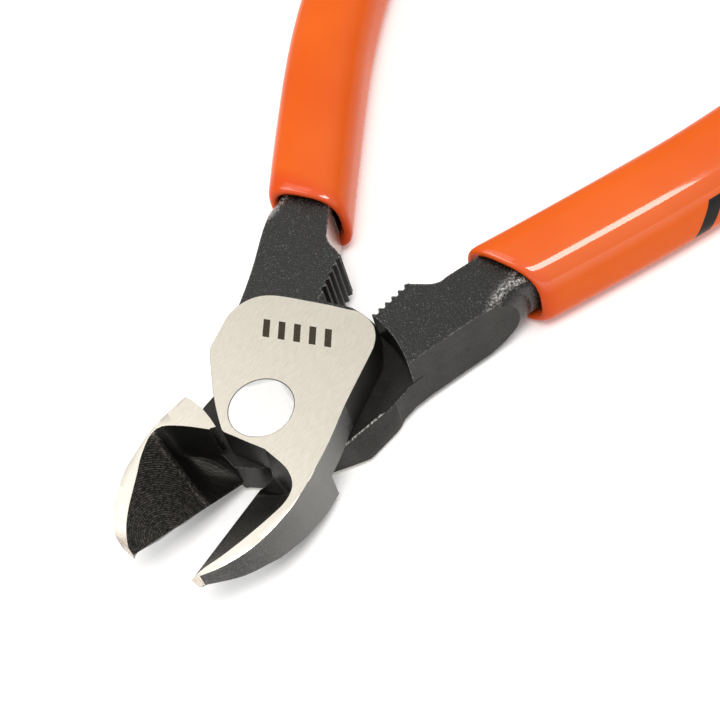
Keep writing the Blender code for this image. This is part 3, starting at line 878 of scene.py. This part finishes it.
def flank_outline(outer):
    """Plan outline of everything outside the milled flank."""
    edge = catmull(outer, 4)
    return [(8.0, 40.0), (8.0, edge[0][1])] + edge + [(40.0, 26.0), (40.0, 40.0)]


def sleeve_axis(x):
    """Plan offset of a handle's centre line from the X axis, in millimetres."""
    return interpolate(SLEEVE_PATH, x)


SLEEVE_PATH = catmull([(29.0, 14.0), (33.25, 16.2), (38.0, 18.9), (42.75, 21.6), (50.0, 25.6),
                       (57.0, 29.4), (64.0, 33.0), (71.25, 36.3), (78.5, 39.2), (85.5, 41.7),
                       (94.0, 43.9), (103.0, 45.5), (112.0, 46.2), (120.0, 46.2), (128.0, 45.6)], 6)


def sleeve_width(x):
    return interpolate([(30.0, 12.7), (43.0, 13.05), (57.0, 13.3), (71.0, 13.25), (86.0, 12.9),
                        (110.0, 12.5), (128.0, 12.1)], x)


def handle_ring(x, width, height, power, count, skew):
    """Superellipse ring across a handle; skew turns its plane towards the Y axis."""
    slope = sleeve_axis(x + 0.5) - sleeve_axis(x - 0.5)
    length = math.hypot(1.0, slope)
    tangent = (1.0 / length, slope / length)
    normal = (-tangent[1], tangent[0])
    ring = []
    for k in range(count):
        angle = 2.0 * math.pi * (k + 0.5) / count
        cosine = math.cos(angle)
        sine = math.sin(angle)
        across = math.copysign(abs(cosine) ** (2.0 / power), cosine) * width / 2.0
        rise = math.copysign(abs(sine) ** (2.0 / power), sine) * height / 2.0
        along = skew * across
        ring.append((x + normal[0] * across + tangent[0] * along,
                     sleeve_axis(x) + normal[1] * across + tangent[1] * along, MID_Z + rise))
    return ring


def shank_tail(name, side, materials):
    """The part of the shank hidden in its sleeve."""
    sections = []
    for k in range(17):
        x = 33.0 + 79.0 * k / 16.0
        share = k / 16.0
        ring = handle_ring(x, 8.6 - 2.2 * share, 8.6 - 3.0 * share, 4.0, 24, 0.0)
        sections.append([(px, py * side, pz) for px, py, pz in ring])
    return loft(name, sections, materials)


def serration_cut(serration):
    teeth = serrated_edge(serration)
    start = teeth[0]
    end = teeth[-1]
    return [(start[0] - 12.0, start[1] - 3.0), (start[0] - 1.0, start[1])] + teeth + [
        (end[0] + 0.25, end[1] + 0.3), (end[0] + 2.0, end[1] - 2.0), (36.0, -8.0), (8.0, -8.0)]


def recess_cut(inner):
    curve = catmull(inner, 8)
    return curve + [(40.0, 12.0), (40.0, -8.0), (inner[0][0] - 0.1, -8.0)]


def shape_root(name, upper, side, materials):
    """Forged root with its milled flank, serrations, finger recess and step wall."""
    outer = UPPER_SHANK_OUTER if upper else LOWER_SHANK_OUTER
    inner = UPPER_SHANK_INNER if upper else LOWER_SHANK_INNER
    serration = UPPER_SERRATION if upper else LOWER_SERRATION
    outlines = {"flank": flank_outline(outer), "teeth": serration_cut(serration),
                "recess": recess_cut(inner)}
    root = repaint(root_body(name + "_root", outer, side, materials), FORGED)
    paints = {"flank": SMOOTH, "teeth": SMOOTH, "recess": SCOOP}
    for key, outline in outlines.items():
        if not upper:
            outline = mirror_outline(outline)
        cutter = slab(name + "_" + key, outline, -3.0, HEAD_TOP + 3.0, materials,
                      side_paint=lambda i: paints[key])
        join_by_boolean(root, cutter, "DIFFERENCE")
    wall_low = -3.0 if upper else MID_Z - HALF_GAP - 0.02
    wall_high = MID_Z + HALF_GAP + 0.02 if upper else HEAD_TOP + 3.0
    disc = slab(name + "_disc", arc_points(STEP_WALL_RADIUS, 0.0, 358.0, 179), wall_low, wall_high,
                materials, side_paint=lambda i: SMOOTH, top_paint=SMOOTH, bottom_paint=SMOOTH)
    join_by_boolean(root, disc, "DIFFERENCE")
    return root


def forged_half(name, side, materials):
    """One whole forging: plate, neck, root, hidden shank and jaw joined, then bored."""
    upper = side > 0
    low = MID_Z + HALF_GAP if upper else HEAD_LOW
    high = HEAD_TOP if upper else MID_Z - HALF_GAP
    outer = UPPER_SHANK_OUTER if upper else LOWER_SHANK_OUTER
    serration = UPPER_SERRATION if upper else LOWER_SERRATION
    plate = smooth_outline(PLATE_OUTLINE + (UPPER_THROAT if upper else LOWER_THROAT))
    neck = neck_outline(outer, serration)
    if not upper:
        plate = mirror_outline(plate)
        neck = mirror_outline(neck)
    rear_wall = SMOOTH_STEPS * (len(PLATE_OUTLINE) + 6)
    body = slab(name, plate, low, high, materials, 0.1, 0.06, 2,
                top_paint=GROUND if upper else SMOOTH, bottom_paint=SMOOTH if upper else GROUND,
                side_paint=lambda i: WALL if upper and i > rear_wall else SMOOTH)
    if not upper:
        draft = chord_cut(name + "_draft", (-0.27, high + 1.0), (1.8, HEAD_LOW - 1.0), materials, SMOOTH)
        join_by_boolean(body, draft, "DIFFERENCE")
        # Strip along the corner in the abraded black finish, partly a painted highlight
        worn_highlight = chord_cut(name + "_worn", (-1.03, high + 1.0), (1.67, high - 2.0), materials, WORN_AND_HIGHLIGHT)
        join_by_boolean(body, worn_highlight, "DIFFERENCE")
    neck_low = low if upper else HEAD_LOW + LOWER_ROOT_DROP
    neck_high = HEAD_TOP - SHANK_DROP if upper else high
    top = FORGED if upper else SMOOTH
    neck_piece = slab(name + "_neck", neck, neck_low, neck_high, materials, top_paint=top,
                      bottom_paint=SMOOTH if upper else FORGED, side_paint=lambda i: SMOOTH)
    join_by_boolean(body, neck_piece, "UNION")
    if upper:
        rim = slab(name + "_rim", rim_outline(), low, HEAD_TOP - RIM_DROP, materials, 0.0, 0.15,
                   top_paint=FORGED, side_paint=lambda i: SMOOTH)
        join_by_boolean(body, rim, "UNION")
    join_by_boolean(body, shape_root(name, upper, side, materials), "UNION")
    tail = repaint(shank_tail(name + "_tail", side, materials), FORGED)
    join_by_boolean(body, tail, "UNION")
    inner_curve = UPPER_JAW_INNER if upper else LOWER_JAW_INNER
    outer_curve = UPPER_JAW_OUTER if upper else LOWER_JAW_OUTER
    ridge = UPPER_RIDGE if upper else LOWER_RIDGE
    swing = UPPER_SWING if upper else LOWER_SWING
    jaw_piece = jaw(name + "_jaw", inner_curve, outer_curve, ridge, swing, side, materials)
    join_by_boolean(body, jaw_piece, "UNION")
    if not upper:
        heel = [rotate_plan(x, y, swing) for x, y in mirror_outline(LOWER_JAW_HEEL)]
        heel_piece = slab(name + "_heel", heel, HEEL_LOW, HEAD_TOP, materials, top_paint=GROUND,
                          bottom_paint=SMOOTH, side_paint=lambda i: SMOOTH)
        join_by_boolean(body, heel_piece, "UNION")
    circle = arc_points(RIVET_RADIUS + BORE_CLEARANCE, 0.0, 357.0, 119)
    bore = slab(name + "_bore", circle, -3.0, HEAD_TOP + 3.0, materials, side_paint=lambda i: SMOOTH)
    join_by_boolean(body, bore, "DIFFERENCE")
    crease(body, 28.0)
    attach(body, "upper" if upper else "lower")
    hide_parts("upper_half" if upper else "lower_half")
    return body


def smooth_outline(points):
    """Closed smooth curve through points; each point stays on it, SMOOTH_STEPS apart."""
    closed = [points[-1]] + points + [points[0], points[1]]
    curve = catmull(closed, SMOOTH_STEPS)
    return curve[SMOOTH_STEPS:-SMOOTH_STEPS][:SMOOTH_STEPS * len(points)]


# ---------------------------------------------------------------- rivet and sleeves

def pivot_rivet(material):
    sections = []
    radius = RIVET_RADIUS
    for inset, z in ((0.10, HEAD_LOW), (0.03, HEAD_LOW + 0.03), (0.0, HEAD_LOW + 0.1),
                     (0.0, HEAD_TOP - 0.1), (0.03, HEAD_TOP - 0.03), (0.10, HEAD_TOP)):
        ring = []
        for k in range(128):
            angle = 2.0 * math.pi * k / 128
            ring.append(((radius - inset) * math.cos(angle), (radius - inset) * math.sin(angle), z))
        sections.append(ring)
    obj = loft("flush_rivet", sections, [material])
    crease(obj, 50.0)
    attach(obj, "upper")
    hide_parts("pivot_rivet")
    return obj


def sleeve(name, side, material, node, body):
    """Blind dipped sleeve with a rolled mouth standing clear of the shank."""
    mouth_x, mouth_skew = UPPER_MOUTH if side > 0 else LOWER_MOUTH

    def skew_at(x):
        return mouth_skew * clamp(1.0 - (x - mouth_x) / MOUTH_BLEND)
    sections = []
    pocket_end = 112.5
    for k in range(14):
        x = pocket_end - (pocket_end - mouth_x - 1.5) * k / 13.0
        share = clamp((x - 33.0) / 79.0)
        sections.append(handle_ring(x, 9.3 - 2.3 * share, 9.3 - 3.1 * share, 4.0, SLEEVE_SIDES, skew_at(x)))
    lip = ((3.4, 0.6), (3.0, 0.12), (2.5, -0.25), (1.8, -0.42), (1.0, -0.35), (0.45, -0.08), (0.15, 0.35),
           (0.0, 0.95))
    for inset, shift in lip:
        x = mouth_x + shift
        width = sleeve_width(x) - inset
        sections.append(handle_ring(x, width, SLEEVE_HEIGHT - inset, 3.0, SLEEVE_SIDES, mouth_skew))
    body_start = mouth_x + lip[-1][1]
    body_end = SLEEVE_END_X - SLEEVE_END_ROUND
    for k in range(1, 61):
        x = body_start + (body_end - body_start) * k / 60
        sections.append(handle_ring(x, sleeve_width(x), SLEEVE_HEIGHT, 3.0, SLEEVE_SIDES, skew_at(x)))
    for k in range(1, 13):
        angle = math.pi / 2.0 * k / 12.6
        x = body_end + SLEEVE_END_ROUND * math.sin(angle)
        scale = math.cos(angle) ** 0.75
        sections.append(handle_ring(x, sleeve_width(x) * scale, SLEEVE_HEIGHT * scale, 3.0,
                                    SLEEVE_SIDES, 0.0))
    turned = [[(x, y * side, z) for x, y, z in ring] for ring in sections]
    obj = loft(name, turned, [material])
    crease(obj, 60.0)
    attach(obj, body)
    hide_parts(node)
    return obj


# ---------------------------------------------------------------- stage

def floor():
    """Pale matt floor under the tool, faintly self-lit so that its shadows stay light."""
    bm = bmesh.new()
    half = 3.0
    z = CAD_BOX[0][2]
    square = ((-half, -half), (half, -half), (half, half), (-half, half))
    bm.faces.new([bm.verts.new((x, y, z)) for x, y in square])
    n = Nodes("pale_floor")
    mottle = n.noise(n.place, 4.0, 2.0, 0.5)
    n.link(n.mix(n.span(mottle, 0.3, 0.7), rgb(0.93, 0.93, 0.93), rgb(0.95, 0.95, 0.95)),
           n.shader.inputs["Base Color"])
    n.shader.inputs["Roughness"].default_value = 0.9
    n.shader.inputs["Specular IOR Level"].default_value = 0.1
    n.shader.inputs["Emission Color"].default_value = rgb(1.0, 1.0, 1.0)
    n.shader.inputs["Emission Strength"].default_value = 0.12
    obj = to_object("floor", bm, [n.material])


def area_light(name, place, target, width, depth, power, colour):
    data = bpy.data.lights.new(name, "AREA")
    data.shape = "RECTANGLE"
    data.size = width
    data.size_y = depth
    data.energy = power
    data.color = colour
    obj = bpy.data.objects.new(name, data)
    obj.location = place
    obj.rotation_euler = (Vector(target) - Vector(place)).to_track_quat("-Z", "Y").to_euler()
    bpy.context.scene.collection.objects.link(obj)


def lights():
    """White surround with a strip light, a side light and a weak gloss light."""
    world = bpy.data.worlds.new("studio")
    bpy.context.scene.world = world
    world.use_nodes = True
    background = world.node_tree.nodes["Background"]
    background.inputs["Color"].default_value = (1.0, 1.0, 1.0, 1.0)
    background.inputs["Strength"].default_value = 0.55
    centre = (0.03, 0.0, 0.005)
    area_light("strip", (-0.05, -0.22, 0.75), centre, 0.6, 0.28, 4.6, (1.0, 0.99, 0.97))
    area_light("side", (-0.38, 0.52, 0.58), centre, 0.45, 0.45, 2.3, (1.0, 0.99, 0.98))
    area_light("gloss", (0.05, 0.50, 0.70), centre, 0.45, 0.45, 0.72, (1.0, 0.99, 0.98))


def camera():
    data = bpy.data.cameras.new("view")
    data.lens = CAMERA_LENS
    data.sensor_width = 36.0
    data.clip_start = 0.01
    obj = bpy.data.objects.new("view", data)
    right = CAMERA_RIGHT.normalized()
    back = right.cross(CAMERA_UP).normalized()
    up = back.cross(right)
    turn = Matrix((right, up, back)).transposed().to_4x4()
    obj.matrix_world = Matrix.Translation(CAMERA_PLACE) @ turn
    bpy.context.scene.collection.objects.link(obj)
    bpy.context.scene.camera = obj


def build():
    camera()
    shared = [forged_black(), smooth_black(), jaw_wall(), scoop_steel(), worn_and_highlight_black()]
    upper_list = [ground_steel("marked_steel", True), shared[0],
                  milled_bevel("upper_bevel", (-20.5, -9.0, 6.0), UPPER_SWING, 1.0, UPPER_RIDGE)] + shared[1:]
    lower_list = [ground_steel("ground_steel", False), shared[0],
                  milled_bevel("lower_bevel", (-21.6, 1.6, 7.6), LOWER_SWING, -1.0, LOWER_RIDGE)] + shared[1:]
    forged_half("lower_forging", -1, lower_list)
    forged_half("upper_forging", 1, upper_list)
    pivot_rivet(rivet_steel())
    sleeve("upper_sleeve", 1, dipped_vinyl("upper_vinyl", False), "upper_grip", "upper")
    sleeve("lower_sleeve", -1, dipped_vinyl("lower_vinyl", True), "lower_grip", "lower")
    floor()
    lights()
    bpy.context.scene.view_settings.view_transform = "Standard"


build()
